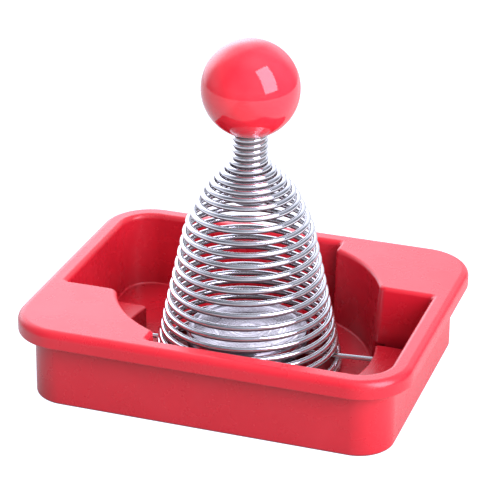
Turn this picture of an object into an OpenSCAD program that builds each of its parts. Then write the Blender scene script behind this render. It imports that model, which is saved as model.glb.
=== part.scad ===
// Spring nutcracker with a catch tray: a weighted ball knob on a bell-shaped
// wire spring, a dished steel anvil inside the bell, and a cross pin that
// locks the whole tower under two ledges of a moulded tray.
// Units: mm. +Z up. Origin: centre of the tray's underside.

/* [Tray] */
// outer length of the rim, along X
rim_l = 165; // [120:0.5:200]
// outer width of the rim, along Y
rim_w = 131.6; // [90:0.1:170]
// corner radius of the rim
rim_r = 21.7; // [12:0.1:30]
// height of the tray
tray_h = 36; // [25:0.5:50]
// how far the rim stands out past the wall
rim_out = 6.9; // [4:0.1:10]
// height of the rim's skirt
skirt_h = 7.5; // [4:0.1:12]
// rounding of the rim's outer edge
rim_edge = 3.2; // [1:0.1:5]
// rounding of the rim's inner edge
rim_in_edge = 2.2; // [0.6:0.1:2.4]
// thickness of the moulded wall
wall_t = 1.9; // [1.5:0.1:3]
// thickness of the floor
floor_t = 2.2; // [1.5:0.1:3]

/* [Platforms] */
// radius of the arc wall at the floor
arc_r_floor = 52; // [46:0.1:60]
// radius of the arc wall at the top
arc_r_top = 54.5; // [46:0.1:60]
// distance of the straight wall from the X axis
plat_y = 18.7; // [14:0.1:26]
// distance of the short step from the Y axis
plat_x = 23.1; // [16:0.1:32]
// radius of the tall corner by the straight wall
plat_corner = 4.4; // [1:0.1:5]
// radius of the tall corner by the short step
step_corner = 2.6; // [1:0.1:3]
// rounding of the platforms' top edges
plat_edge = 1.7; // [0.6:0.1:2]

/* [Locking ledges] */
// height of the ledge's top
ledge_top = 11.7; // [9:0.1:16]
// radius of the ledge's hollow edge
ledge_r = 53.3; // [48:0.1:60]
// edge beside the entry gap, from the X axis
ledge_gap_side = 14.4; // [10:0.1:18]
// free edge, from the X axis
ledge_free_side = 16.3; // [10:0.1:22]

/* [Anvil and pin] */
// radius of the anvil
anvil_r = 25.7; // [18:0.1:32]
// height of the anvil's rim above the table
anvil_top = 18.3; // [12:0.1:24]
// depth of the dish in the anvil
dish_d = 1.2; // [0:0.1:3]
// radius of the cross pin
pin_r = 1.0; // [0.8:0.05:2]
// height of the cross pin
pin_z = 9.0; // [7:0.1:12]
// half length of the cross pin
pin_l = 57; // [50:0.1:60]
// angle of the cross pin when locked
pin_a = 6.5; // [4:0.1:10]

/* [Spring] */
// wire diameter
wire_d = 2.5; // [2:0.05:3]
// number of turns, neck included
turns = 30.4; // [20:0.1:32]
// angle at which the wire starts on the floor
start_a = 150; // [0:1:360]
// straight steps in each turn
steps = 24; // [12:1:30]
// sides of the wire
sides = 8; // [6:1:10]

/* [Knob] */
// radius of the ball
ball_r = 20; // [15:0.1:26]
// height of the ball's centre
ball_z = 124; // [110:0.1:140]
// thickness of the plastic skin
skin_t = 3; // [2:0.1:5]
// radius of the pocket that takes the spring's neck
pocket_r = 7.6; // [7.5:0.05:9]
// height of the pocket's ceiling
pocket_z = 113; // [108:0.1:116]
// radius of the striker's shank
shank_r = 4.6; // [3:0.05:4.7]
// radius of the striker's head
head_r = 8; // [5:0.1:10]
// height of the striker's face
head_z = 76; // [70:0.1:84]

/* [Hidden] */
$fn = 96;
eps = 0.05;
H = tray_h;
cx = rim_l / 2 - rim_r;
cy = rim_w / 2 - rim_r;
r_top = rim_r - rim_out;          // wall, outside, under the rim
r_bot = r_top + 0.2;              // wall, outside, at the table
r_in = r_top - wall_t;            // wall, inside
draft = (arc_r_top - arc_r_floor) / (H - floor_t);
pin_gap = 0.15;                   // play of the pin under the ledge
wr = wire_d / 2;

// height of the wire's centre after n turns: a flat seat on the floor, a
// step over the cross pin, the open bell, the close shoulder and the neck
function wire_z(n) = lookup(n, [
    [0, 3.5], [0.35, 3.6], [1.10, 5.1], [1.60, 6.62], [2.10, 11.42], [2.60, 13.1],
    [5.35, 24.6], [7.35, 33.2], [12.35, 58.0], [16.35, 76.0], [17.35, 79.6],
    [18.35, 82.4], [23.30, 93.1], [turns, 93.1 + (turns - 23.3) * 2.62]]);

// radius of the wire's centre line at height z: bell, shoulder, neck
function wire_r(z) = lookup(z, [
    [3.5, 38.6], [23, 34.9], [42, 30.6], [61.5, 26.3], [66.4, 24.9], [69.7, 23.3],
    [73.2, 21.6], [77.1, 19.8], [80.4, 17.9], [83, 15.8], [85.4, 13.7], [87.6, 11.4],
    [90.2, 9.2], [92.1, 7.1], [93.6, 6.0], [130, 6.0]]);

// the same, eased over a quarter turn so that the curve has no corners
function ease_z(n) = n < 3 || n > turns - 1 ? wire_z(n)
    : (wire_z(n - 0.5) + 2 * wire_z(n - 0.25) + 2 * wire_z(n) + 2 * wire_z(n + 0.25) + wire_z(n + 0.5)) / 8;
function ease_r(z) = (wire_r(z - 1.2) + wire_r(z) + wire_r(z + 1.2)) / 3;

module rounded(l, w, r, h) {
    linear_extrude(h) {
        square([l - 2 * r, w], center = true);
        square([l, w - 2 * r], center = true);
        for (x = [-1, 1], y = [-1, 1]) translate([x * (l / 2 - r), y * (w / 2 - r)]) circle(r);
    }
}

// section of wall and rim: x is the distance from the corner's centre
module rim_section() {
    difference() {
        union() {
            polygon([[r_in - 0.4, 0], [r_bot - 1.2, 0], [r_bot, 1.2], [r_top, H - 3], [r_top, H - rim_in_edge],
                     [r_in, H - rim_in_edge]]);
            translate([r_bot - 1.2, 1.2]) circle(1.2);
            translate([r_in + rim_in_edge, H - skirt_h]) square([rim_r - rim_edge - r_in - rim_in_edge, skirt_h]);
            translate([rim_r - rim_edge - 0.5, H - skirt_h]) square([rim_edge + 0.5, skirt_h - rim_edge]);
            translate([rim_r - rim_edge, H - rim_edge]) circle(rim_edge);
            translate([r_in + rim_in_edge, H - rim_in_edge]) circle(rim_in_edge);
        }
        translate([r_top, H - skirt_h - 1]) square([rim_out - 2.1, skirt_h + 1 - 2.3]);
    }
}

module rim_quarter() {
    translate([cx, cy, 0]) rotate_extrude(angle = 90) rim_section();
}

module rim_and_wall() {
    for (a = [0, 180]) rotate(a) {
        rim_quarter();
        mirror([1, 0, 0]) rim_quarter();
        translate([-cx, cy, 0]) rotate([90, 0, 90]) linear_extrude(2 * cx) rim_section();
        translate([cx, cy, 0]) rotate([90, 0, 0]) linear_extrude(2 * cy) rim_section();
    }
}

// what is left outside a convex corner of radius r, leaning by lean degrees
// so that it follows the sloping arc wall
module corner_waste(c, base, r, lean_axis) {
    translate([c[0], c[1], H]) rotate(atan(draft), lean_axis) translate([0, 0, -H - 6])
        linear_extrude(H + 12) difference() {
            polygon(base);
            circle(r);
        }
}

module platform() {
    e = plat_edge;
    out = r_in + rim_in_edge + 0.3;
    fr = plat_corner;
    fx = sqrt(pow(arc_r_top + fr, 2) - pow(plat_y + fr, 2));
    fy = plat_y + fr;
    sr = step_corner;
    sx = plat_x + sr;
    sy = sqrt(pow(arc_r_top + sr, 2) - pow(sx, 2));
    fu = [-fx, -fy] / norm([fx, fy]) * fr;
    su = [-sx, -sy] / norm([sx, sy]) * sr;
    difference() {
        intersection() {
            union() {
                rounded(2 * (cx + r_in + 1), 2 * (cy + r_in + 1), r_in + 1, H);
                // its top runs out over the rounding of the rim
                translate([0, 0, H - 0.7]) rounded(2 * (cx + out), 2 * (cy + out), out, 0.7);
            }
            translate([plat_x, plat_y, 0]) cube([100, 100, H]);
        }
        // arc wall and its rounded top edge
        translate([0, 0, -1]) cylinder(h = H + 2, r1 = arc_r_floor - draft * (floor_t + 1), r2 = arc_r_top + draft);
        rotate_extrude() difference() {
            translate([arc_r_top - 0.6, H - e]) square([e + 0.5, e + 0.1]);
            translate([arc_r_top + e - 0.1, H - e]) circle(e + 0.02);
        }
        // rounded top edges of the straight wall and of the short step
        translate([0, plat_y, 0]) rotate([90, 0, 90]) linear_extrude(cx + r_in) difference() {
            translate([-0.1, H - e]) square([e + 0.1, e + 0.1]);
            translate([e, H - e]) circle(e + 0.02);
        }
        translate([plat_x, cy + r_in, 0]) rotate([90, 0, 0]) linear_extrude(20) difference() {
            translate([-0.1, H - e]) square([e + 0.1, e + 0.1]);
            translate([e, H - e]) circle(e + 0.02);
        }
        // the two upright corners of the arc wall
        corner_waste([fx, fy], [[0, -fr - 0.1], [-fr * 1.6, -fr - 0.1], [-fr * 2.2, -fr * 0.6], fu * 1.02, fu * 0.99], fr + 0.03, [0, 1, 0]);
        corner_waste([sx, sy], [[-sr - 0.1, 0], [-sr - 0.1, -sr * 1.6], [-sr * 0.6, -sr * 2.2], su * 1.02, su * 0.99], sr + 0.03, [-1, 0, 0]);
    }
    // concave corners where the platform meets the tray's walls
    translate([cx + r_in - 2, plat_y - 2, 0]) linear_extrude(H - rim_in_edge - 0.3) difference() {
        square([2.5, 2.5]);
        circle(1.98);
    }
    translate([plat_x - 2, cy + r_in - 2, 0]) linear_extrude(H - rim_in_edge - 0.3) difference() {
        square([2.5, 2.5]);
        circle(1.98);
    }
}

// hollow under a platform, with a grid of ribs left standing
module platform_hollow() {
    t = 2.2;
    difference() {
        intersection() {
            translate([0, 0, -1]) rounded(2 * (cx + r_in - 0.4), 2 * (cy + r_in - 0.4), r_in - 0.4, H + 1 - t);
            translate([plat_x + t, plat_y + t, -1]) cube([100, 100, H + 1]);
        }
        translate([0, 0, -2]) cylinder(h = H + 2, r1 = arc_r_floor + t - draft * (floor_t + 2), r2 = arc_r_top + t);
        for (x = [37.4, 52.4, 67.4]) translate([x, 0, -1.5]) cube([1.4, 80, H + 4]);
        for (y = [34.4, 45.6]) translate([0, y, -1.5]) cube([90, 1.4, H + 4]);
    }
}

module ledge() {
    difference() {
        translate([46, -ledge_free_side, 0]) {
            // the free corner is rounded in plan
            linear_extrude(ledge_top) {
                translate([0, 1.5]) square([cx + r_in + 0.8 - 46, ledge_gap_side + ledge_free_side - 1.5]);
                translate([8.2, 0]) square([cx + r_in + 0.8 - 46 - 8.2, 3]);
                translate([6.2 + 1.5, 1.5]) circle(1.5);
            }
        }
        translate([0, 0, -1]) cylinder(h = ledge_top + 2, r = ledge_r);
        // bevel on the hollow edge
        translate([0, 0, ledge_top - 1]) cylinder(h = 1.1, r1 = ledge_r - 0.1, r2 = ledge_r + 1.0);
    }
}

module ledge_hollow() {
    difference() {
        translate([ledge_r, -ledge_free_side + 2, -1])
            cube([cx + r_in - 0.4 - ledge_r, ledge_gap_side + ledge_free_side - 3.8, pin_z + pin_r + pin_gap + 1]);
        translate([0, 0, -2]) cylinder(h = 20, r = ledge_r + 2);
        translate([63.4, -30, -2]) cube([1.4, 60, 20]);
        translate([50, -2.4, -2]) cube([30, 1.4, 20]);
    }
}

// path of the pin's end from the entry gap to the locked place
module pin_path() {
    s = asin((pin_r + 0.06) / ledge_r);
    translate([0, 0, pin_z - pin_r - pin_gap]) rotate([0, 0, pin_a - s]) rotate_extrude(angle = 11.5 + 2 * s + 2.2)
        translate([ledge_r - 1.5, 0]) square([pin_l + 0.6 - ledge_r + 1.5, 2 * (pin_r + pin_gap)]);
}

module tray() {
    color([0.80, 0.06, 0.10]) difference() {
        union() {
            rim_and_wall();
            rounded(2 * (cx + r_in), 2 * (cy + r_in), r_in, floor_t);
            for (a = [0, 180]) rotate(a) {
                platform();
                ledge();
            }
        }
        for (a = [0, 180]) rotate(a) {
            platform_hollow();
            ledge_hollow();
            pin_path();
        }
    }
}

module anvil() {
    dish_r = anvil_r - 3.2;
    ball = (dish_r * dish_r + dish_d * dish_d) / (2 * dish_d);
    color([0.78, 0.79, 0.80]) difference() {
        translate([0, 0, floor_t + eps]) union() {
            cylinder(h = 0.8, r1 = anvil_r - 0.8, r2 = anvil_r);
            translate([0, 0, 0.8]) cylinder(h = anvil_top - floor_t - eps - 1.8, r = anvil_r);
            translate([0, 0, anvil_top - floor_t - eps - 1]) cylinder(h = 1, r1 = anvil_r, r2 = anvil_r - 1);
        }
        translate([0, 0, anvil_top + ball - dish_d]) sphere(ball, $fn = 200);
        rotate([0, 0, pin_a]) translate([0, 0, pin_z]) rotate([0, 90, 0])
            cylinder(h = 2 * anvil_r + 2, r = pin_r + 0.04, center = true);
    }
}

module cross_pin() {
    color([0.86, 0.87, 0.88]) rotate([0, 0, pin_a]) translate([-pin_l, 0, pin_z]) rotate([0, 90, 0]) {
        cylinder(h = 0.35, r1 = pin_r - 0.35, r2 = pin_r);
        translate([0, 0, 0.35]) cylinder(h = 2 * pin_l - 0.7, r = pin_r);
        translate([0, 0, 2 * pin_l - 0.35]) cylinder(h = 0.35, r1 = pin_r, r2 = pin_r - 0.35);
    }
}

module spring() {
    m = ceil(turns * steps);
    pts = [for (i = [0:m]) let (n = turns * i / m, z = ease_z(n), r = ease_r(z), a = start_a + 360 * n)
        for (j = [0:sides - 1]) let (b = 360 * j / sides)
            [(r + wr * cos(b)) * cos(a), (r + wr * cos(b)) * sin(a), z + wr * sin(b)]];
    faces = concat(
        [[for (j = [0:sides - 1]) j]],
        [for (i = [0:m - 1]) for (j = [0:sides - 1]) let (k = (j + 1) % sides)
            each [[i * sides + j, (i + 1) * sides + j, (i + 1) * sides + k],
                  [i * sides + j, (i + 1) * sides + k, i * sides + k]]],
        [[for (j = [sides - 1:-1:0]) m * sides + j]]);
    color([0.88, 0.89, 0.91]) polyhedron(pts, faces, convexity = 40);
}

module knob_shell() {
    color([0.86, 0.07, 0.11]) difference() {
        translate([0, 0, ball_z]) sphere(ball_r);
        translate([0, 0, ball_z]) sphere(ball_r - skin_t);
        translate([0, 0, ball_z - ball_r - 1]) cylinder(h = ball_r, r = pocket_r);
    }
}

module knob_core() {
    color([0.50, 0.51, 0.53]) difference() {
        translate([0, 0, ball_z]) sphere(ball_r - skin_t - 0.05);
        translate([0, 0, ball_z - ball_r]) cylinder(h = pocket_z - ball_z + ball_r, r = pocket_r);
        translate([0, 0, pocket_z - 1]) cylinder(h = 14, r = 3.04);
    }
}

module striker() {
    color([0.70, 0.71, 0.72]) union() {
        translate([0, 0, head_z]) cylinder(h = 0.8, r1 = head_r - 0.8, r2 = head_r);
        translate([0, 0, head_z + 0.8]) cylinder(h = 7.2, r = head_r);
        translate([0, 0, head_z + 8]) cylinder(h = 3.4, r1 = head_r, r2 = shank_r);
        translate([0, 0, head_z + 11.4]) cylinder(h = pocket_z - head_z - 11.4 - 0.05, r = shank_r);
        translate([0, 0, pocket_z - 0.1]) cylinder(h = 11.5, r = 3);
        translate([0, 0, pocket_z + 11.4]) cylinder(h = 0.5, r1 = 3, r2 = 2.5);
    }
}

tray();
anvil();
cross_pin();
spring();
knob_shell();
knob_core();
striker();
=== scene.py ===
"""Looks of the spring nutcracker: red moulded tray, chromed bell spring, steel anvil and striker, red ball knob.

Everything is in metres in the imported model's own frame."""
import math

import bpy
import bmesh
import numpy as np
from mathutils import Matrix, Vector


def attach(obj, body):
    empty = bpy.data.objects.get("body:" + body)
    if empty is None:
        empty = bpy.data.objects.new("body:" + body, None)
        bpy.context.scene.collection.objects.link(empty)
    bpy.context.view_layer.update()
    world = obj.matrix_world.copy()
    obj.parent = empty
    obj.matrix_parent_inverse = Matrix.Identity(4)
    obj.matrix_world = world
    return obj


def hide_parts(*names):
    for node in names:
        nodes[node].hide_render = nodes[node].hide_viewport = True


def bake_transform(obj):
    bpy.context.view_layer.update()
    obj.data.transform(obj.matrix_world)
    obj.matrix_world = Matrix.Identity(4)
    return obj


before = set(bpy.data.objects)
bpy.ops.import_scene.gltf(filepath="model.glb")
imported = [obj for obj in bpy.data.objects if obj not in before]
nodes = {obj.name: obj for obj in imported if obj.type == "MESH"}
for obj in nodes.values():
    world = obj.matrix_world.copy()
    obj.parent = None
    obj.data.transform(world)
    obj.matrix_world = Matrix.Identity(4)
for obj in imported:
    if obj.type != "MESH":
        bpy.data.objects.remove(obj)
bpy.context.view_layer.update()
MM = 0.001

# ---------------------------------------------------------------- camera

YAW, PITCH, ROLL = -0.3242, 0.4302, 0.0096
fwd = Vector((math.sin(YAW) * math.cos(PITCH), math.cos(YAW) * math.cos(PITCH), -math.sin(PITCH)))
right0 = Vector((math.cos(YAW), -math.sin(YAW), 0.0))
up0 = right0.cross(fwd)
right = math.cos(ROLL) * right0 + math.sin(ROLL) * up0
up = -math.sin(ROLL) * right0 + math.cos(ROLL) * up0
cam_data = bpy.data.cameras.new("photo_camera")
cam_data.sensor_width = 36.0
cam_data.lens = 155.43
cam_data.clip_start, cam_data.clip_end = 0.05, 20.0
camera = bpy.data.objects.new("photo_camera", cam_data)
bpy.context.scene.collection.objects.link(camera)
camera.matrix_world = Matrix((
    (right.x, up.x, -fwd.x, 0.25156),
    (right.y, up.y, -fwd.y, -0.75235),
    (right.z, up.z, -fwd.z, 0.41905),
    (0, 0, 0, 1)))
bpy.context.scene.camera = camera
bpy.context.scene.view_settings.view_transform = "Standard"

# ---------------------------------------------------------------- node helpers


class Mat:
    """A small writer for node materials."""

    def __init__(self, name):
        self.m = bpy.data.materials.new(name)
        self.m.use_nodes = True
        self.t = self.m.node_tree
        self.t.nodes.clear()
        self.out = self.t.nodes.new("ShaderNodeOutputMaterial")
        self.bsdf = self.t.nodes.new("ShaderNodeBsdfPrincipled")
        self.link(self.bsdf.outputs[0], self.out.inputs["Surface"])

    def link(self, a, b):
        self.t.links.new(a, b)

    def set(self, **kw):
        for k, v in kw.items():
            self.bsdf.inputs[k.replace("_", " ")].default_value = v
        return self

    def new(self, kind, **props):
        n = self.t.nodes.new(kind)
        for k, v in props.items():
            setattr(n, k, v)
        return n

    def put(self, socket, value):
        if isinstance(value, bpy.types.NodeSocket):
            self.link(value, socket)
        else:
            socket.default_value = value

    def obj(self):
        return self.new("ShaderNodeTexCoord").outputs["Object"]

    def attr(self, name):
        return self.new("ShaderNodeAttribute", attribute_name=name).outputs["Vector"]

    def scaled(self, vec, s):
        n = self.new("ShaderNodeMapping")
        self.link(vec, n.inputs["Vector"])
        n.inputs["Scale"].default_value = s
        return n.outputs[0]

    def noise(self, vec, scale, detail=2.0, rough=0.5, distortion=0.0):
        n = self.new("ShaderNodeTexNoise")
        self.link(vec, n.inputs["Vector"])
        n.inputs["Scale"].default_value = scale
        n.inputs["Detail"].default_value = detail
        n.inputs["Roughness"].default_value = rough
        n.inputs["Distortion"].default_value = distortion
        return n.outputs["Fac"]

    def math(self, op, a, b=0.0, c=0.0, clamp=False):
        n = self.new("ShaderNodeMath", operation=op)
        n.use_clamp = clamp
        for s, v in zip(n.inputs, (a, b, c)):
            self.put(s, v)
        return n.outputs[0]

    def vmath(self, op, a, b=(0, 0, 0)):
        n = self.new("ShaderNodeVectorMath", operation=op)
        self.put(n.inputs[0], a)
        self.put(n.inputs[1], b)
        return n.outputs["Value"] if op in ("DOT_PRODUCT", "LENGTH", "DISTANCE") else n.outputs["Vector"]

    def remap(self, v, a, b, c, d, smooth=False):
        n = self.new("ShaderNodeMapRange")
        n.interpolation_type = "SMOOTHSTEP" if smooth else "LINEAR"
        n.clamp = True
        for s, x in zip((n.inputs["Value"], n.inputs["From Min"], n.inputs["From Max"], n.inputs["To Min"],
                         n.inputs["To Max"]), (v, a, b, c, d)):
            self.put(s, x)
        return n.outputs["Result"]

    def mix(self, f, a, b):
        n = self.new("ShaderNodeMix", data_type="RGBA")
        self.put(n.inputs["Factor"], f)
        self.put(n.inputs["A"], a if isinstance(a, bpy.types.NodeSocket) else (*a, 1.0))
        self.put(n.inputs["B"], b if isinstance(b, bpy.types.NodeSocket) else (*b, 1.0))
        return n.outputs["Result"]

    def edge(self, radius, lo=0.002, hi=0.12):
        """1 on edges, 0 on open faces."""
        b = self.new("ShaderNodeBevel")
        b.samples = 6
        b.inputs["Radius"].default_value = radius
        g = self.new("ShaderNodeNewGeometry")
        d = self.vmath("DOT_PRODUCT", b.outputs[0], g.outputs["Normal"])
        return self.remap(self.math("SUBTRACT", 1.0, d), lo, hi, 0.0, 1.0)

    def bump(self, height, strength, distance, normal=None):
        n = self.new("ShaderNodeBump")
        n.inputs["Strength"].default_value = strength
        n.inputs["Distance"].default_value = distance
        self.link(height, n.inputs["Height"])
        if normal is not None:
            self.link(normal, n.inputs["Normal"])
        return n.outputs[0]

    def colour(self, v):
        self.put(self.bsdf.inputs["Base Color"], v)

    def roughness(self, v):
        self.put(self.bsdf.inputs["Roughness"], v)

    def normal(self, v):
        self.link(v, self.bsdf.inputs["Normal"])


def scratches(k, vec, seed, scale, thin=0.012):
    """Fine hairline scratches in one direction: the narrow crossing of a stretched noise."""
    n = k.new("ShaderNodeMapping")
    k.link(vec, n.inputs["Vector"])
    n.inputs["Rotation"].default_value = seed
    n.inputs["Scale"].default_value = (scale, scale * 0.045, scale)
    f = k.noise(n.outputs[0], 1.0, 1.0, 0.4, 0.35)
    return k.remap(k.math("ABSOLUTE", k.math("SUBTRACT", f, 0.5)), 0.0, thin, 1.0, 0.0)


def red_plastic(name, base, deep, light, rough, bevel, scuff, corner_shade=0.0):
    k = Mat(name)
    p = k.obj()
    # pigment: slow clouds, and flow marks drawn out along the moulding
    cloud = k.noise(p, 38.0, 3.0, 0.55, 0.6)
    flow = k.noise(k.scaled(p, (22.0, 60.0, 14.0)), 1.0, 3.0, 0.6, 1.2)
    speck = k.noise(p, 2600.0, 2.0, 0.6)
    c = k.mix(k.remap(cloud, 0.30, 0.70, 0.0, 0.7, True), base, deep)
    c = k.mix(k.remap(flow, 0.45, 0.75, 0.0, 0.18, True), c, light)
    c = k.mix(k.remap(speck, 0.66, 0.80, 0.0, 0.06), c, light)
    edge = k.edge(bevel)
    patchy = k.remap(k.noise(p, 140.0, 3.0, 0.6), 0.35, 0.65, 0.15, 1.0)
    worn = k.math("MULTIPLY", edge, patchy)
    c = k.mix(k.math("MULTIPLY", worn, 0.28), c, light)
    scr = k.math("MAXIMUM", scratches(k, p, (0.3, 0.2, 0.5), 520.0), scratches(k, p, (0.1, 0.4, 2.1), 640.0, 0.009))
    scr = k.math("MULTIPLY", scr, k.remap(k.noise(p, 26.0, 2.0), 0.64, 0.80, 0.0, 1.0))
    c = k.mix(k.math("MULTIPLY", scr, 0.03 * scuff), c, light)
    if corner_shade:
        # painted shade: the colour darkens towards a deep red in corners and hollows, where the ambient occlusion node
        # finds them
        shade = k.new("ShaderNodeAmbientOcclusion", samples=8)
        shade.inputs["Distance"].default_value = 0.035
        c = k.mix(k.remap(shade.outputs["AO"], 0.20, 0.62, corner_shade, 0.0, True), c, tuple(x * 0.25 for x in deep))
    k.colour(c)
    r = k.math("ADD", rough, k.math("MULTIPLY", k.remap(k.noise(p, 70.0, 4.0, 0.6), 0.3, 0.7, -1.0, 1.0), 0.03 * scuff))
    r = k.math("ADD", r, k.math("MULTIPLY", k.math("MAXIMUM", worn, scr), 0.10 * scuff))
    k.roughness(k.math("MAXIMUM", r, 0.02))
    b = k.new("ShaderNodeBevel")
    b.samples = 6
    b.inputs["Radius"].default_value = bevel
    sink = k.noise(p, 55.0, 2.0, 0.4)
    grain = k.noise(p, 1500.0, 3.0, 0.6)
    n = k.bump(sink, 0.08 * scuff, 0.00025, b.outputs[0])
    n = k.bump(grain, 0.05 * scuff, 0.00003, n)
    n = k.bump(scr, 0.04 * scuff, -0.00002, n)
    k.normal(n)
    return k


# the last number sets the painted shade in the tray's corners and hollows
tray_mat = red_plastic("tray_red_plastic", (0.62, 0.013, 0.031), (0.585, 0.011, 0.027), (0.68, 0.034, 0.055), 0.27,
                       0.0003, 1.0, 0.62)
tray_mat.set(IOR=1.6, Subsurface_Weight=0.04, Subsurface_Scale=0.003, Subsurface_Radius=(1.0, 0.15, 0.12))
knob_mat = red_plastic("knob_red_plastic", (0.90, 0.030, 0.056), (0.86, 0.026, 0.049), (0.93, 0.060, 0.085), 0.07,
                       0.0003, 0.35)
knob_mat.set(IOR=1.5, Coat_Weight=0.35, Coat_Roughness=0.03, Subsurface_Weight=0.05, Subsurface_Scale=0.004,
             Subsurface_Radius=(1.0, 0.15, 0.12))


def wire_chrome(name, coord, tint, rough, along, underside_shade, close_turn_shade):
    """Chromed drawn wire: hairlines along the wire, soft clouding, a few dull specks, and painted shade on the
    underside and between close turns.
    """
    k = Mat(name)
    v = coord(k)
    line = k.noise(k.scaled(v, along), 1.0, 3.0, 0.65)
    cloud = k.noise(k.obj(), 120.0, 3.0, 0.6)
    speck = k.remap(k.noise(k.obj(), 1900.0, 2.0, 0.5), 0.70, 0.80, 0.0, 1.0)
    c = k.mix(k.remap(cloud, 0.3, 0.7, 0.0, 1.0), tint, tuple(x * 0.93 for x in tint))
    c = k.mix(k.remap(line, 0.55, 0.75, 0.0, 0.35), c, tuple(x * 0.72 for x in tint))
    c = k.mix(k.math("MULTIPLY", speck, 0.4), c, (0.45, 0.44, 0.46))
    # painted shade and painted dark red reflection: the wire turns dark red and loses its metal on the underside, more
    # so low down, and where the turns lie close together
    up = k.vmath("DOT_PRODUCT", k.new("ShaderNodeNewGeometry").outputs["Normal"], (0.0, 0.0, 1.0))
    axes = k.new("ShaderNodeSeparateXYZ")
    k.link(k.obj(), axes.inputs[0])
    low = k.remap(axes.outputs["Z"], 0.030, 0.075, 0.26, 0.10, True)
    amount = k.remap(axes.outputs["Z"], 0.075, 0.100, underside_shade, underside_shade * 0.87, True)
    painted_underside_shade = k.math("MULTIPLY", k.remap(k.math("SUBTRACT", up, low), -0.38, 0.04, 1.0, 0.0, True), amount)
    close = k.new("ShaderNodeAmbientOcclusion", samples=6)
    close.inputs["Distance"].default_value = 0.006
    painted_close_shade = k.math("MULTIPLY", k.remap(close.outputs["AO"], 0.35, 0.95, 1.0, 0.0), close_turn_shade)
    painted_shade = k.math("MAXIMUM", painted_underside_shade, painted_close_shade)
    # painted shade: a dark red, non-metal colour is mixed in where the shade masks are high
    k.colour(k.mix(painted_shade, c, (0.060, 0.022, 0.040)))
    k.link(k.math("SUBTRACT", 1.0, painted_shade), k.bsdf.inputs["Metallic"])
    k.set(Specular_IOR_Level=0.1)
    r = k.math("ADD", rough, k.math("MULTIPLY", k.remap(line, 0.3, 0.7, -1.0, 1.0), 0.05))
    r = k.math("ADD", r, k.math("MULTIPLY", k.remap(cloud, 0.4, 0.7, 0.0, 1.0), 0.05))
    k.roughness(k.math("ADD", r, k.math("MULTIPLY", speck, 0.2)))
    n = k.bump(line, 0.18, 0.00004)
    n = k.bump(cloud, 0.10, 0.0001, n)
    k.normal(n)
    return k


# the last two numbers of each set the painted shade on the underside and between close turns
chrome_mat = wire_chrome("spring_chrome", lambda k: k.attr("wire_uv"), (0.93, 0.95, 1.0), 0.10, (9.0, 55.0, 1.0),
                         0.97, 0.28)
pin_mat = wire_chrome("pin_chrome", lambda k: k.obj(), (0.87, 0.87, 0.89), 0.12, (40.0, 4200.0, 4200.0),
                      0.6, 0.3)


def turned_steel(name, tint, dark, rough, rings, shine=0.5, lines=0.30):
    """Lathe-turned steel: rings about the Z axis on flat faces, lines round the sides."""
    k = Mat(name)
    p = k.obj()
    sep = k.new("ShaderNodeSeparateXYZ")
    k.link(p, sep.inputs[0])
    x, y, z = sep.outputs
    r = k.math("SQRT", k.math("ADD", k.math("MULTIPLY", x, x), k.math("MULTIPLY", y, y)))
    a = k.math("ARCTAN2", y, x)
    v = k.new("ShaderNodeCombineXYZ")
    k.link(k.math("MULTIPLY", r, rings), v.inputs[0])
    k.link(k.math("MULTIPLY", z, rings), v.inputs[1])
    k.link(k.math("MULTIPLY", k.math("SINE", a), 0.35), v.inputs[2])
    ring = k.noise(v.outputs[0], 1.0, 4.0, 0.7)
    cloud = k.noise(p, 90.0, 4.0, 0.6, 0.5)
    nick = k.remap(k.noise(p, 700.0, 2.0, 0.5), 0.68, 0.74, 0.0, 1.0)
    c = k.mix(k.remap(ring, 0.3, 0.7, 0.0, 1.0), tint, dark)
    c = k.mix(k.remap(cloud, 0.35, 0.7, 0.0, 0.35), c, tuple(x * 0.7 for x in dark))
    edge = k.edge(0.0005)
    c = k.mix(k.math("MULTIPLY", edge, 0.5), c, tuple(min(1.0, x * 1.12) for x in tint))
    k.colour(c)
    q = k.math("ADD", rough, k.math("MULTIPLY", k.remap(ring, 0.3, 0.7, -1.0, 1.0), 0.09))
    q = k.math("ADD", q, k.math("MULTIPLY", k.remap(cloud, 0.4, 0.7, 0.0, 1.0), 0.08))
    q = k.math("SUBTRACT", q, k.math("MULTIPLY", edge, 0.08))
    k.roughness(q)
    b = k.new("ShaderNodeBevel")
    b.samples = 4
    b.inputs["Radius"].default_value = 0.0003
    n = k.bump(ring, lines, 0.00006, b.outputs[0])
    n = k.bump(nick, 0.25, -0.00008, n)
    k.normal(n)
    tangent = k.new("ShaderNodeTangent", direction_type="RADIAL", axis="Z")
    k.link(tangent.outputs[0], k.bsdf.inputs["Tangent"])
    k.set(Metallic=1.0, Anisotropic=shine)
    return k


anvil_mat = turned_steel("anvil_steel", (0.60, 0.57, 0.60), (0.35, 0.32, 0.36), 0.12, 900.0, 0.3, 0.12)
striker_mat = turned_steel("striker_steel", (0.72, 0.72, 0.74), (0.52, 0.52, 0.55), 0.30, 2600.0)
core_mat = turned_steel("core_steel", (0.52, 0.52, 0.54), (0.38, 0.38, 0.40), 0.42, 900.0, 0.2)


def assign(obj, k):
    obj.data.materials.clear()
    obj.data.materials.append(k.m)


def dress(node, k):
    """A carried-over CAD node gets a better material in its own slots."""
    for s in nodes[node].material_slots:
        s.material = k.m


dress("anvil", anvil_mat)
dress("cross_pin", pin_mat)
dress("knob_core", core_mat)
dress("striker", striker_mat)

# ---------------------------------------------------------------- mesh helpers


def new_mesh(name, verts, faces, smooth=True):
    me = bpy.data.meshes.new(name)
    me.from_pydata([tuple(map(float, v)) for v in verts], [], [tuple(map(int, f)) for f in faces])
    me.update()
    me.validate()
    for p in me.polygons:
        p.use_smooth = smooth
    o = bpy.data.objects.new(name, me)
    bpy.context.scene.collection.objects.link(o)
    return o


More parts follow.
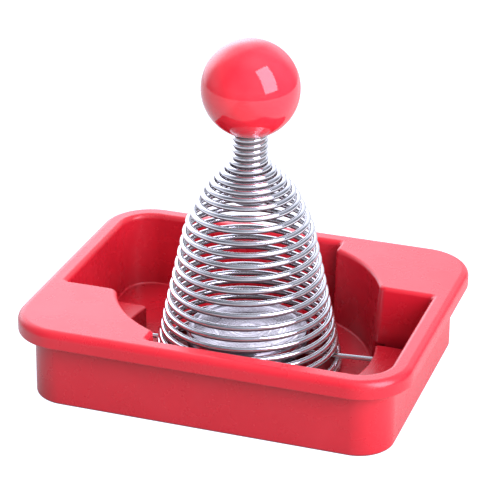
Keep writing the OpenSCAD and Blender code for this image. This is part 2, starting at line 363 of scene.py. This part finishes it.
def lathe(name, profile, segments, closed=False):
    """A surface of revolution about Z through (r, z) points in metres; points on the axis make a pole."""
    verts, rings = [], []
    for r, z in profile:
        if r < 1e-9:
            rings.append([len(verts)])
            verts.append((0.0, 0.0, z))
        else:
            ring = []
            for i in range(segments):
                a = 2 * math.pi * i / segments
                ring.append(len(verts))
                verts.append((r * math.cos(a), r * math.sin(a), z))
            rings.append(ring)
    faces = []
    pairs = list(zip(rings, rings[1:]))
    if closed:
        pairs.append((rings[-1], rings[0]))
    for lo, hi in pairs:
        for i in range(segments):
            j = (i + 1) % segments
            if len(lo) == 1 and len(hi) == 1:
                continue
            if len(lo) == 1:
                faces.append((lo[0], hi[j], hi[i]))
            elif len(hi) == 1:
                faces.append((lo[i], lo[j], hi[0]))
            else:
                faces.append((lo[i], lo[j], hi[j], hi[i]))
    return new_mesh(name, verts, faces)


# ---------------------------------------------------------------- tray
# The moulding is built as level curves in millimetres: the same outline at every height, with the draft of the
# arc walls and the rounding of each edge worked out for that height.

CX, CY, TOP, FLOOR = 60.8, 44.1, 36.0, 2.2      # corner centres, height, floor
R_IN, R_WALL, R_FOOT, R_RIM = 12.9, 14.8, 15.0, 21.698
SKIRT, RIM_EDGE, IN_EDGE, PLAT_EDGE = 7.5, 3.2, 2.2, 1.7
ARC_FLOOR, ARC_TOP, PLAT_X, PLAT_Y = 52.0, 54.5, 23.1, 18.7
TALL_CORNER, STEP_CORNER, NOOK = 4.4, 2.6, 2.0
LEDGE_TOP, LEDGE_R, LEDGE_IN, LEDGE_FREE = 11.7, 53.3, 14.4, 16.3
PIN_Z, PIN_HALF, PIN_TURN = 9.0, 1.15, 6.5


def arc(cx, cy, r, a0, a1, n, ends=True):
    """Points on an arc, angles in degrees; a0 > a1 runs clockwise."""
    t = np.radians(np.linspace(a0, a1, n + 1))
    if not ends:
        t = t[:-1]
    return [(cx + r * math.cos(a), cy + r * math.sin(a)) for a in t]


def run(p, q, n):
    """Points along a straight run, both ends left out."""
    return [(p[0] + (q[0] - p[0]) * i / n, p[1] + (q[1] - p[1]) * i / n) for i in range(1, n)]


def cavity(z, d_rim, d_plat, corner_n=28, arc_n=44):
    """Outline of the tray's inside at height z; d_rim and d_plat push the rim's and the platforms' sides back."""
    X, Y = CX + R_IN + d_rim, CY + R_IN + d_rim
    py, px = PLAT_Y + d_plat, PLAT_X + d_plat
    R = ARC_FLOOR + (ARC_TOP - ARC_FLOOR) * (z - FLOOR) / (TOP - FLOOR) + d_plat
    fr, sr, nook = TALL_CORNER - d_plat, STEP_CORNER - d_plat, max(0.3, NOOK + min(d_plat, 0.0))
    fy = py + fr
    fx = math.sqrt((R + fr) ** 2 - fy ** 2)
    sx = px + sr
    sy = math.sqrt((R + sr) ** 2 - sx ** 2)
    t1, t2 = math.degrees(math.atan2(fy, fx)), math.degrees(math.atan2(sy, sx))
    pts = [(X, -CY)]
    pts += run((X, -CY), (X, py - nook), 4)
    pts += arc(X - nook, py - nook, nook, 0, 90, 8)
    pts += run((X - nook, py), (fx, py), 3)
    pts += arc(fx, fy, fr, -90, t1 - 180, 14)
    pts += arc(0, 0, R, t1, t2, arc_n)[1:]
    pts += arc(sx, sy, sr, t2 - 180, -180, 12)[1:]
    pts += run((px, sy), (px, Y - nook), 2)
    pts += arc(px - nook, Y - nook, nook, 0, 90, 8)
    pts += run((px - nook, Y), (-CX, Y), 4)
    pts += arc(-CX, CY, Y - CY, 90, 180, corner_n, False)
    return pts + [(-x, -y) for x, y in pts]


def rounded_rect(r, corner_n=32):
    pts = []
    for sx, sy, a in ((1, 1, 0), (-1, 1, 90), (-1, -1, 180), (1, -1, 270)):
        pts += arc(sx * CX, sy * CY, r, a, a + 90, corner_n)
    return pts


class Shell:
    """Collects rings of points and the strips between them."""

    def __init__(self):
        self.v, self.f = [], []

    def ring(self, pts, z):
        n = len(self.v)
        self.v += [(x, y, z) for x, y in pts]
        return list(range(n, n + len(pts)))

    def strip(self, a, b):
        for i in range(len(a)):
            j = (i + 1) % len(a)
            self.f.append((a[i], a[j], b[j], b[i]))

    def fill(self, ring):
        self.f.append(tuple(ring))

    def fill_between(self, outer, inner):
        """The flat land between two rings, split across two opposite corners."""

        def near(ring, p):
            return min(range(len(ring)), key=lambda i: (self.v[ring[i]][0] - p[0]) ** 2 + (self.v[ring[i]][1] - p[1]) ** 2)

        def piece(ring, i, j):
            return ring[i:j + 1] if i <= j else ring[i:] + ring[:j + 1]

        k = math.sqrt(0.5) * (R_IN + R_RIM) / 2
        ends = [(-CX - k, CY + k), (CX + k, -CY - k)]
        o = [near(outer, p) for p in ends]
        i = [near(inner, p) for p in ends]
        for a, b in ((0, 1), (1, 0)):
            self.f.append(tuple(piece(outer, o[a], o[b]) + piece(inner, i[a], i[b])[::-1]))

    def tube(self, levels):
        rings = [self.ring(p, z) for p, z in levels]
        for a, b in zip(rings, rings[1:]):
            self.strip(a, b)
        return rings

    def solid(self, levels):
        rings = self.tube(levels)
        self.fill(rings[0])
        self.fill(rings[-1])
        return self

    def make(self, name):
        o = new_mesh(name, [tuple(c * MM for c in p) for p in self.v], self.f)
        b = bmesh.new()
        b.from_mesh(o.data)
        bmesh.ops.remove_doubles(b, verts=b.verts, dist=1e-7)
        bmesh.ops.recalc_face_normals(b, faces=b.faces)
        b.to_mesh(o.data)
        b.free()
        return o


def tray_body():
    s = Shell()
    # inside: a small fillet at the floor, the drafted walls, and the rounded top edges
    levels = []
    f = 0.9
    for i in range(6):
        t = math.radians(90 - 90 * i / 5)
        d = -f * (1 - math.cos(t))
        z = FLOOR + f * (1 - math.sin(t))
        levels.append((cavity(z, d, d), z))
    for z in (12.0, 23.0):
        levels.append((cavity(z, 0, 0), z))
    for i in range(13):
        t = math.radians(90 * i / 12)
        z = TOP - IN_EDGE + IN_EDGE * math.sin(t)
        u = min(1.0, max(0.0, (z - (TOP - PLAT_EDGE)) / PLAT_EDGE))
        levels.append((cavity(z, IN_EDGE * (1 - math.cos(t)), PLAT_EDGE * (1 - math.sqrt(1 - u * u))), z))
    inside = s.tube(levels)
    s.fill(inside[0])
    # outside: rim, skirt, the hollow under it, the wall and the rounded foot
    prof = []

    def bend(x, z, r, a0, a1, n):
        for i in range(n + 1):
            a = math.radians(a0 + (a1 - a0) * i / n)
            prof.append((x + r * math.cos(a), z + r * math.sin(a)))

    bend(R_RIM - RIM_EDGE, TOP - RIM_EDGE, RIM_EDGE, 90, 0, 16)
    bend(R_RIM - 0.7, TOP - SKIRT + 0.7, 0.7, 0, -90, 6)
    bend(R_RIM - 1.6, TOP - SKIRT + 0.5, 0.5, -90, -180, 5)
    bend(R_RIM - 2.1 - 0.8, TOP - 2.3 - 0.8, 0.8, 0, 90, 5)
    bend(R_WALL + 0.8, TOP - 2.3 - 0.8, 0.8, 90, 180, 5)
    prof.append((R_WALL, TOP - SKIRT))
    bend(R_FOOT - 1.2, 1.2, 1.2, 0, -90, 8)
    outside = s.tube([(rounded_rect(r), z) for r, z in prof])
    s.fill(outside[-1])
    s.fill_between(outside[0], inside[-1])
    return s.make("tray_moulding")


def ledge():
    """One locking ledge, its root sunk in the wall and the floor."""

    def outline(d):
        ci, cf = 1.5 - d, 2.0 - d
        R = LEDGE_R + d
        yi, yf = LEDGE_IN - d - ci, -LEDGE_FREE + d + cf
        xi = math.sqrt((R + ci) ** 2 - yi ** 2)
        xf = math.sqrt((R + cf) ** 2 - yf ** 2)
        ti, tf = math.degrees(math.atan2(yi, xi)), math.degrees(math.atan2(yf, xf))
        xw = CX + R_IN + 0.7
        return ([(xw, -LEDGE_FREE + d), (xw, LEDGE_IN - d)] + arc(xi, yi, ci, 90, 180 + ti, 10)
                + arc(0, 0, R, ti, tf, 26)[1:] + arc(xf, yf, cf, 180 + tf, 270, 12)[1:])

    e = 0.9
    levels = [(outline(0), FLOOR - 1.0), (outline(0), 7.0)]
    for i in range(8):
        t = math.radians(90 * i / 7)
        levels.append((outline(e * (1 - math.cos(t))), LEDGE_TOP - e + e * math.sin(t)))
    return Shell().solid(levels).make("ledge")


def block(x0, y0, z0, x1, y1, z1):
    p = [(x0, y0), (x1, y0), (x1, y1), (x0, y1)]
    return [(p, z0), (p, z1)]


def combine(target, other, how, keep=False):
    m = target.modifiers.new("b", "BOOLEAN")
    m.operation, m.solver, m.object = how, "EXACT", other
    deps = bpy.context.evaluated_depsgraph_get()
    me = bpy.data.meshes.new_from_object(target.evaluated_get(deps))
    target.modifiers.clear()
    old = target.data
    target.data = me
    bpy.data.meshes.remove(old)
    if not keep:
        bpy.data.objects.remove(other)
    return target


def turned(o):
    """A copy turned half a turn about Z."""
    c = o.copy()
    c.data = o.data.copy()
    c.data.transform(Matrix.Rotation(math.pi, 4, "Z"))
    bpy.context.scene.collection.objects.link(c)
    return c


def both_sides(target, tool, how):
    """The same cut or joint at both ends of the tray."""
    combine(target, turned(tool), how)
    combine(target, tool, how)


def platform_core():
    """The hollow under one platform: cells between the ribs, inside the walls."""
    t = 2.2
    s = Shell()
    xs = [(PLAT_X + t, 37.4), (38.8, 52.4), (53.8, 67.4), (68.8, 90.0)]
    ys = [(PLAT_Y + t, 34.4), (35.8, 45.6), (47.0, 80.0)]
    for x0, x1 in xs:
        for y0, y1 in ys:
            s.solid(block(x0, y0, -1.0, x1, y1, TOP - t))
    o = s.make("cells")
    lim = Shell().solid([(rounded_rect(R_IN - 0.4), -2.0), (rounded_rect(R_IN - 0.4), TOP)]).make("limit")
    combine(o, lim, "INTERSECT")
    k = (ARC_TOP - ARC_FLOOR) / (TOP - FLOOR)
    cone = Shell().solid([(arc(0, 0, ARC_FLOOR + t + k * (z - FLOOR), 0, 360, 120, False), z)
                          for z in (-3.0, TOP + 1)]).make("cone")
    return combine(o, cone, "DIFFERENCE")


def ledge_core():
    s = Shell()
    x0, x1 = LEDGE_R, CX + R_IN - 0.4
    y0, y1 = -LEDGE_FREE + 2, LEDGE_IN - 1.8
    for a, b in ((x0, 63.4), (64.8, x1)):
        for c, d in ((y0, -2.4), (-1.0, y1)):
            s.solid(block(a, c, -1.0, b, d, PIN_Z + PIN_HALF))
    o = s.make("ledge_cells")
    cyl = Shell().solid([(arc(0, 0, LEDGE_R + 2, 0, 360, 120, False), z) for z in (-2.0, 20.0)]).make("cyl")
    return combine(o, cyl, "DIFFERENCE")


def pin_slot():
    s = math.degrees(math.asin(1.06 / LEDGE_R))
    a0, a1 = PIN_TURN - s, PIN_TURN - s + 11.5 + 2 * s + 2.2
    p = arc(0, 0, LEDGE_R - 1.5, a0, a1, 14) + arc(0, 0, 57.6, a1, a0, 14)
    return Shell().solid([(p, PIN_Z - PIN_HALF), (p, PIN_Z + PIN_HALF)]).make("slot")


def soft_normals(o, sharp=38.0):
    """Smooth shading in which the large faces keep their own normal."""
    b = bmesh.new()
    b.from_mesh(o.data)
    bmesh.ops.remove_doubles(b, verts=b.verts, dist=2e-7)
    bmesh.ops.dissolve_degenerate(b, edges=b.edges, dist=2e-7)
    for e in b.edges:
        e.smooth = not (len(e.link_faces) == 2 and e.calc_face_angle(0.0) > math.radians(sharp))
    for f in b.faces:
        f.smooth = True
    b.to_mesh(o.data)
    b.free()
    m = o.modifiers.new("n", "WEIGHTED_NORMAL")
    m.mode, m.weight, m.keep_sharp = "FACE_AREA", 50, True
    deps = bpy.context.evaluated_depsgraph_get()
    me = bpy.data.meshes.new_from_object(o.evaluated_get(deps))
    o.modifiers.clear()
    old = o.data
    o.data = me
    bpy.data.meshes.remove(old)


moulding = tray_body()
both_sides(moulding, ledge(), "UNION")
both_sides(moulding, platform_core(), "DIFFERENCE")
both_sides(moulding, ledge_core(), "DIFFERENCE")
both_sides(moulding, pin_slot(), "DIFFERENCE")
soft_normals(moulding)
assign(moulding, tray_mat)
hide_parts("tray")
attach(moulding, "tray_body")

# ---------------------------------------------------------------- spring


def lookup(x, table):
    xs, ys = zip(*table)
    return float(np.interp(x, xs, ys))


TURNS, START, WIRE_R = 30.4, 150.0, 1.25
Z_OF_TURN = [(0, 3.5), (0.35, 3.6), (1.10, 5.1), (1.60, 6.62), (2.10, 11.42), (2.60, 13.1), (5.35, 24.6), (7.35, 33.2),
             (12.35, 58.0), (16.35, 76.0), (17.35, 79.6), (18.35, 82.4), (23.30, 93.1),
             (TURNS, 93.1 + (TURNS - 23.3) * 2.62)]
R_OF_Z = [(3.5, 38.6), (23, 34.9), (42, 30.6), (61.5, 26.3), (66.4, 24.9), (69.7, 23.3), (73.2, 21.6), (77.1, 19.8),
          (80.4, 17.9), (83, 15.8), (85.4, 13.7), (87.6, 11.4), (90.2, 9.2), (92.1, 7.1), (93.6, 6.0), (130, 6.0)]


def turn_z(n):
    if n < 3 or n > TURNS - 1:
        return lookup(n, Z_OF_TURN)
    w = ((-0.5, 1), (-0.25, 2), (0, 2), (0.25, 2), (0.5, 1))
    return sum(k * lookup(n + d, Z_OF_TURN) for d, k in w) / 8


def turn_r(z):
    return sum(lookup(z + d, R_OF_Z) for d in (-1.2, 0.0, 1.2)) / 3


def smooth_low(values, step):
    """Rounds the corners of the first turns, where the wire climbs over the pin, without moving the seat."""
    out = np.array(values)
    k = max(1, int(round(0.04 / step)))
    pad = np.concatenate([np.full(k, out[0]), out, np.full(k, out[-1])])
    kernel = np.hanning(2 * k + 3)[1:-1]
    kernel /= kernel.sum()
    return np.convolve(pad, kernel, "valid")


def make_spring():
    per_turn, sides = 64, 16
    m = int(math.ceil(TURNS * per_turn))
    t = np.linspace(0.0, TURNS, m + 1)
    z = np.array([turn_z(x) for x in t])
    z = smooth_low(z, TURNS / m)
    r = np.array([turn_r(x) for x in z])
    a = np.radians(START) + 2 * math.pi * t
    centre = np.stack([r * np.cos(a), r * np.sin(a), z], 1) * MM
    tang = np.gradient(centre, axis=0)
    tang /= np.linalg.norm(tang, axis=1)[:, None]
    out = np.stack([np.cos(a), np.sin(a), np.zeros_like(a)], 1)
    out -= tang * (out * tang).sum(1)[:, None]
    out /= np.linalg.norm(out, axis=1)[:, None]
    side = np.cross(tang, out)
    length = np.concatenate([[0], np.cumsum(np.linalg.norm(np.diff(centre, axis=0), axis=1))])
    # ring stations: the wire, with a small rounded chamfer on each cut end
    stations = [(0, 0.0, 0.45), (0, 0.0, 0.80), (0, 0.10, 0.93), (0, 0.28, 1.0)]
    stations += [(i, None, 1.0) for i in range(1, m)]
    stations += [(m, -0.28, 1.0), (m, -0.10, 0.93), (m, 0.0, 0.80), (m, 0.0, 0.45)]
    verts, uv, turn = [], [], []
    for i, shift, f in stations:
        c = centre[i] + (tang[i] * shift * MM if shift else 0)
        for j in range(sides):
            b = 2 * math.pi * j / sides
            verts.append(c + (out[i] * math.cos(b) + side[i] * math.sin(b)) * WIRE_R * MM * f)
            uv.append((length[i] * 100.0, math.cos(b), math.sin(b)))
            turn.append(t[i])
    n = len(stations)
    faces = []
    for i in range(n - 1):
        for j in range(sides):
            k = (j + 1) % sides
            faces.append((i * sides + j, i * sides + k, (i + 1) * sides + k, (i + 1) * sides + j))
    first, last = len(verts), len(verts) + 1
    verts += [centre[0], centre[m]]
    uv += [(0.0, 0.0, 0.0), (length[m] * 100.0, 0.0, 0.0)]
    turn += [0.0, TURNS]
    for j in range(sides):
        k = (j + 1) % sides
        faces.append((first, k, j))
        faces.append((last, (n - 1) * sides + j, (n - 1) * sides + k))
    o = new_mesh("spring_wire", verts, faces)
    at = o.data.attributes.new("wire_uv", "FLOAT_VECTOR", "POINT")
    at.data.foreach_set("vector", np.array(uv, np.float32).ravel())
    return o, np.array(turn)


spring, turn = make_spring()
bm = bmesh.new()
bm.from_mesh(spring.data)
bmesh.ops.recalc_face_normals(bm, faces=bm.faces)
bm.to_mesh(spring.data)
bm.free()
assign(spring, chrome_mat)
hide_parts("spring")
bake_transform(spring)

# ---------------------------------------------------------------- knob


def make_knob():
    R, rp, zc = 20.0, 7.6, 124.0
    fillet = 0.7
    # outer sphere from the pole down to the mouth of the pocket, a rolled edge, and the bore
    prof = []
    # the fillet's circle touches the sphere from inside and the bore
    cr = rp + fillet
    cz = -math.sqrt((R - fillet) ** 2 - cr ** 2)
    touch = math.atan2(cz, cr)
    for i in range(97):
        e = math.pi / 2 + (touch - math.pi / 2) * i / 96
        prof.append((max(0.0, R * math.cos(e)) if i else 0.0, zc + R * math.sin(e)))
    steps = 8
    for i in range(1, steps + 1):
        e = touch + (-math.pi - touch) * i / steps
        prof.append((cr + fillet * math.cos(e), zc + cz + fillet * math.sin(e)))
    inner = 17.0
    top = zc - math.sqrt(inner ** 2 - rp ** 2)
    prof.append((rp, top))
    for i in range(1, 33):
        e0 = math.atan2(top - zc, rp)
        e = e0 + (math.pi / 2 - e0) * i / 32
        prof.append((inner * math.cos(e) if i < 32 else 0.0, zc + inner * math.sin(e)))
    o = lathe("knob_ball", [(r * MM, z * MM) for r, z in prof], 128)
    bm = bmesh.new()
    bm.from_mesh(o.data)
    bmesh.ops.recalc_face_normals(bm, faces=bm.faces)
    for e in bm.edges:
        if len(e.link_faces) == 2 and e.calc_face_angle(0.0) > math.radians(40):
            e.smooth = False
    bm.to_mesh(o.data)
    bm.free()
    return o


knob = make_knob()
assign(knob, knob_mat)
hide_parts("knob_shell")
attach(knob, "knob")

# ---------------------------------------------------------------- floor and light

floor = lathe("floor", [(0.0, -0.00002), (0.78, -0.00002)], 96)
floor.data.flip_normals()
floor_mat = Mat("floor_white")
floor_mat.colour(floor_mat.mix(floor_mat.remap(floor_mat.noise(floor_mat.obj(), 6.0), 0.3, 0.7, 0.0, 1.0),
                               (0.20, 0.20, 0.20), (0.19, 0.19, 0.19)))
floor_mat.set(Roughness=0.9, Specular_IOR_Level=0.1, Emission_Color=(0.98, 1.0, 1.15, 1.0))
ray = floor_mat.new("ShaderNodeLightPath").outputs
where = floor_mat.new("ShaderNodeSeparateXYZ")
floor_mat.link(floor_mat.obj(), where.inputs[0])
# shiny surfaces see it brighter to the left and right of the tray
sides = floor_mat.remap(floor_mat.math("ABSOLUTE", where.outputs["X"]), 0.05, 0.14, 0.34, 0.75, True)
glow = floor_mat.math("ADD", floor_mat.math("MULTIPLY", ray["Is Camera Ray"], 1.05),
                      floor_mat.math("MULTIPLY", ray["Is Glossy Ray"], sides))
# under the base it lights the underside, which is seen from below through the floor
off = floor_mat.new("ShaderNodeCombineXYZ")
for axis, half in (("X", CX), ("Y", CY)):
    past = floor_mat.math("SUBTRACT", floor_mat.math("ABSOLUTE", where.outputs[axis]), half * MM)
    floor_mat.link(floor_mat.math("MAXIMUM", past, 0.0), off.inputs[axis])
covered = floor_mat.math("LESS_THAN", floor_mat.vmath("LENGTH", off.outputs[0]), 0.0138)
covered = floor_mat.math("MULTIPLY", covered, ray["Is Diffuse Ray"])
glow = floor_mat.math("ADD", glow, floor_mat.math("MULTIPLY", covered, 0.7))
floor_mat.link(glow, floor_mat.bsdf.inputs["Emission Strength"])
under = floor_mat.new("ShaderNodeMixShader")
floor_mat.link(floor_mat.new("ShaderNodeNewGeometry").outputs["Backfacing"], under.inputs[0])
floor_mat.link(floor_mat.bsdf.outputs[0], under.inputs[1])
floor_mat.link(floor_mat.new("ShaderNodeBsdfTransparent").outputs[0], under.inputs[2])
floor_mat.link(under.outputs[0], floor_mat.out.inputs["Surface"])
assign(floor, floor_mat)


def area(name, corners, power, colour=(1, 1, 1)):
    """A soft box whose corners are given in order round it."""
    c = sum((Vector(p) for p in corners), Vector()) / 4
    ex = (Vector(corners[1]) - Vector(corners[0]) + Vector(corners[2]) - Vector(corners[3])) / 2
    ey = (Vector(corners[3]) - Vector(corners[0]) + Vector(corners[2]) - Vector(corners[1])) / 2
    x = ex.normalized()
    z = x.cross(ey).normalized()
    y = z.cross(x)
    light = bpy.data.lights.new(name, "AREA")
    light.shape = "RECTANGLE"
    light.size, light.size_y = ex.length, ey.length
    light.energy = power
    light.color = colour
    o = bpy.data.objects.new(name, light)
    bpy.context.scene.collection.objects.link(o)
    if z.dot(-c) > 0:  # a lamp shines along its own -Z
        x, z = -x, -z
    o.matrix_world = Matrix(((x.x, y.x, z.x, c.x), (x.y, y.y, z.y, c.y), (x.z, y.z, z.z, c.z), (0, 0, 0, 1)))
    o.visible_camera = False
    return o


def towards(r, u, b, distance, origin=(0, 0, 0.124)):
    d = (r * right + u * up + b * -fwd).normalized()
    return Vector(origin) + d * distance


def mirror_dir(px, py):
    """Where the ball reflects to at a place given as a share of its radius, right and up of its centre."""
    pz = math.sqrt(1 - px * px - py * py)
    return (2 * pz * px, 2 * pz * py, 2 * pz * pz - 1)


box = [mirror_dir(*p) for p in ((0.083, 0.303), (0.319, 0.386), (0.526, -0.030), (0.289, -0.167))]
softbox = area("softbox", [towards(*d, 0.75) for d in box], 5.0, (0.88, 0.84, 1.05))
softbox.visible_diffuse = False


def wide(name, azimuth, elevation, distance, width, height, power, colour=(1, 1, 1)):
    """A big matt-only source: azimuth from -Y towards +X, in degrees."""
    a, e = math.radians(azimuth), math.radians(elevation)
    d = Vector((math.sin(a) * math.cos(e), -math.cos(a) * math.cos(e), math.sin(e)))
    x = Vector((math.cos(a), math.sin(a), 0.0))
    y = d.cross(x)
    c = Vector((0, 0, 0.03)) + d * distance
    o = area(name, [c - x * width / 2 - y * height / 2, c + x * width / 2 - y * height / 2,
                    c + x * width / 2 + y * height / 2, c - x * width / 2 + y * height / 2], power, colour)
    o.visible_glossy = False
    return o


wide("key", 60, 23, 1.0, 1.1, 0.8, 14.2)
wide("top", -30, 68, 1.0, 1.0, 1.0, 2.8)

world = bpy.data.worlds.new("studio")
bpy.context.scene.world = world
world.use_nodes = True
wt = world.node_tree
wt.nodes.clear()


class World(Mat):
    def __init__(self, tree):
        self.t = tree


w = World(wt)
around = w.new("ShaderNodeTexCoord").outputs["Generated"]


def lobe(azimuth, elevation, spread, level):
    """A soft round panel far away: azimuth from -Y towards +X and elevation, in degrees."""
    a, e = math.radians(azimuth), math.radians(elevation)
    d = (math.sin(a) * math.cos(e), -math.cos(a) * math.cos(e), math.sin(e))
    return w.remap(w.vmath("DOT_PRODUCT", around, d), math.cos(math.radians(spread)), math.cos(math.radians(4)),
                   0.0, level, True)


def panels(rings):
    """Rings of lobes: elevation, spread, first azimuth, then the levels going round."""
    total = None
    for elevation, spread, first, levels in rings:
        for i, level in enumerate(levels):
            if level:
                one = lobe(first + i * 360 / len(levels), elevation, spread, level)
                total = one if total is None else w.math("ADD", total, one)
    return total


# what shiny surfaces see: a dim studio with a bright screen behind on the left
seen = panels(((5, 42, -180, (0.50, 1.60, 0.30, 0.20, 0.25, 0.25, 0.08, 0.10)),
               (32, 40, -180, (0.65, 1.30, 0.45, 0.05, 0.20, 0.30, 0.10, 0.10)),
               (60, 42, -180, (0.0, 0.10, 0.0, 0.30, 0.30)),
               (90, 42, 0, (0.30,))))
# a dark gap in it, in front and above
height = w.new("ShaderNodeSeparateXYZ")
w.link(around, height.inputs[0])
gap = w.math("MULTIPLY", w.remap(height.outputs["Z"], 0.10, 0.30, 0.0, 1.0, True),
             w.remap(height.outputs["Z"], 0.86, 0.99, 1.0, 0.0, True))
gap = w.math("MULTIPLY", gap, w.remap(w.vmath("DOT_PRODUCT", around, (0.0, -1.0, 0.0)), -0.25, 0.30, 0.0, 0.36, True))
seen = w.math("MULTIPLY", seen, w.math("SUBTRACT", 1.0, gap))
# what lights matt surfaces besides the lamps
soft = panels(((15, 60, -180, (0.50, 0.50, 0.40, 0.0, 0.10, 0.60, 0.60, 0.60)),
               (50, 60, -180, (0.55, 0.15, 0.35, 0.85)),
               (90, 60, 0, (0.15,))))
path = w.new("ShaderNodeLightPath").outputs


def background(level, colour):
    bg = w.new("ShaderNodeBackground")
    bg.inputs["Color"].default_value = (*colour, 1.0)
    w.put(bg.inputs["Strength"], level)
    return bg.outputs[0]


def choose(kind, no, yes):
    n = w.new("ShaderNodeMixShader")
    w.link(path[kind], n.inputs[0])
    w.link(no, n.inputs[1])
    w.link(yes, n.inputs[2])
    return n.outputs[0]


sky = choose("Is Glossy Ray", background(soft, (1.0, 1.0, 1.0)), background(seen, (1.03, 1.06, 1.24)))
sky = choose("Is Camera Ray", sky, background(1.0, (1.0, 1.0, 1.0)))
wo = w.new("ShaderNodeOutputWorld")
w.link(sky, wo.inputs["Surface"])
world.cycles.sampling_method = "NONE"
